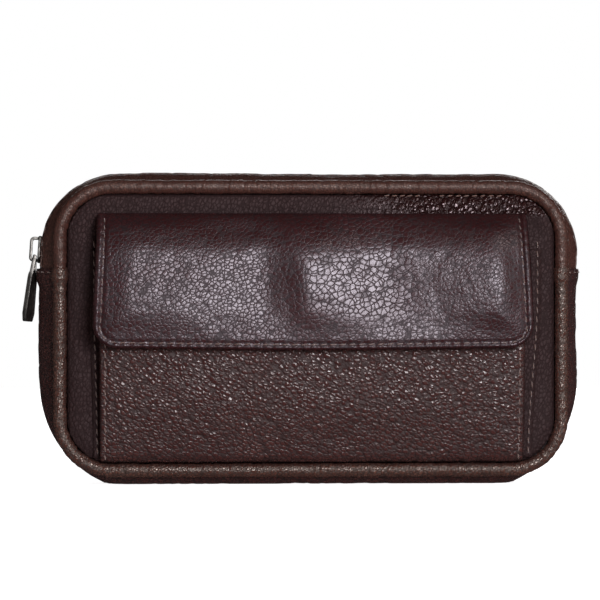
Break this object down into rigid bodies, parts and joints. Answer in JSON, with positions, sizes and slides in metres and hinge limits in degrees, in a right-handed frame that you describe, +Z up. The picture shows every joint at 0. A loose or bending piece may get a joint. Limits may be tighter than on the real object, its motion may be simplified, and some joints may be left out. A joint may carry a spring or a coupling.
{
  "type": "waist pack",
  "caption": "Leather belt pouch: zipped compartment between piped panels, bellows pocket under a magnetic flap, belt loops behind.",
  "frame": {"origin": "middle of the flat underside that the pack stands on", "axes": "+X to the right of someone who faces the flap, the flap faces -Y, +Z up"},
  "size_m": [0.2041, 0.0625, 0.1136],
  "materials": {
    "grain_leather": "dark brown pebbled leather, semi-gloss",
    "smooth_leather": "dark brown smooth leather, semi-gloss",
    "flap_leather": "dark brown pebbled leather, waxed gloss",
    "lining_cloth": "plain woven twill",
    "tape_cloth": "woven zip tape",
    "cord": "cotton piping cord",
    "zip_metal": "nickel",
    "snap_metal": "polished nickel",
    "thread": "waxed polyester thread",
    "magnet": "dull grey"
  },
  "bodies": {
    "bag": {"front_panel": "grain_leather", "back_panel": "grain_leather", "front_lining": "lining_cloth", "back_lining": "lining_cloth", "lower_gusset": "grain_leather", "zip_strip_front": "smooth_leather", "zip_strip_back": "smooth_leather", "gusset_lining": "lining_cloth", "front_piping_upper": "smooth_leather", "front_piping_lower": "grain_leather", "front_piping_cord": "cord", "back_piping_upper": "smooth_leather", "back_piping_lower": "grain_leather", "back_piping_cord": "cord", "zip_tape_front": "tape_cloth", "zip_tape_back": "tape_cloth", "zip_teeth_front": "zip_metal", "zip_teeth_back": "zip_metal", "zip_stops": "zip_metal", "pocket_face": "grain_leather", "pocket_lining": "lining_cloth", "pocket_bellows_left": "smooth_leather", "pocket_bellows_right": "smooth_leather", "flap_seam_tab": "flap_leather", "snap_socket": "snap_metal", "snap_magnet": "magnet", "snap_socket_washer": "snap_metal", "belt_loop_left": "grain_leather", "belt_loop_right": "grain_leather"},
    "flap": {"flap_outer": "flap_leather", "flap_lining": "smooth_leather", "snap_stud": "snap_metal", "snap_stud_washer": "snap_metal"},
    "zip_slider": {"slider_body": "zip_metal", "slider_bridge": "zip_metal"},
    "zip_pull": {"zip_puller": "zip_metal"}
  },
  "joints": [
    {"name": "flap_hinge", "type": "hinge", "parent": "bag", "child": "flap", "pos_m": [0, -0.0224, 0.0974], "axis": [-1, 0, 0], "range_deg": [0, 120]},
    {"name": "slider_travel", "type": "hinge", "parent": "bag", "child": "zip_slider", "pos_m": [-0.0695, 0, 0.084], "axis": [0, 1, 0], "range_deg": [0, 85], "deforming": ["zip_teeth_front", "zip_teeth_back"]},
    {"name": "puller_swing", "type": "hinge", "parent": "zip_slider", "child": "zip_pull", "pos_m": [-0.1011, 0, 0.08354], "axis": [0, 1, 0], "range_deg": [0, 140]}
  ]
}
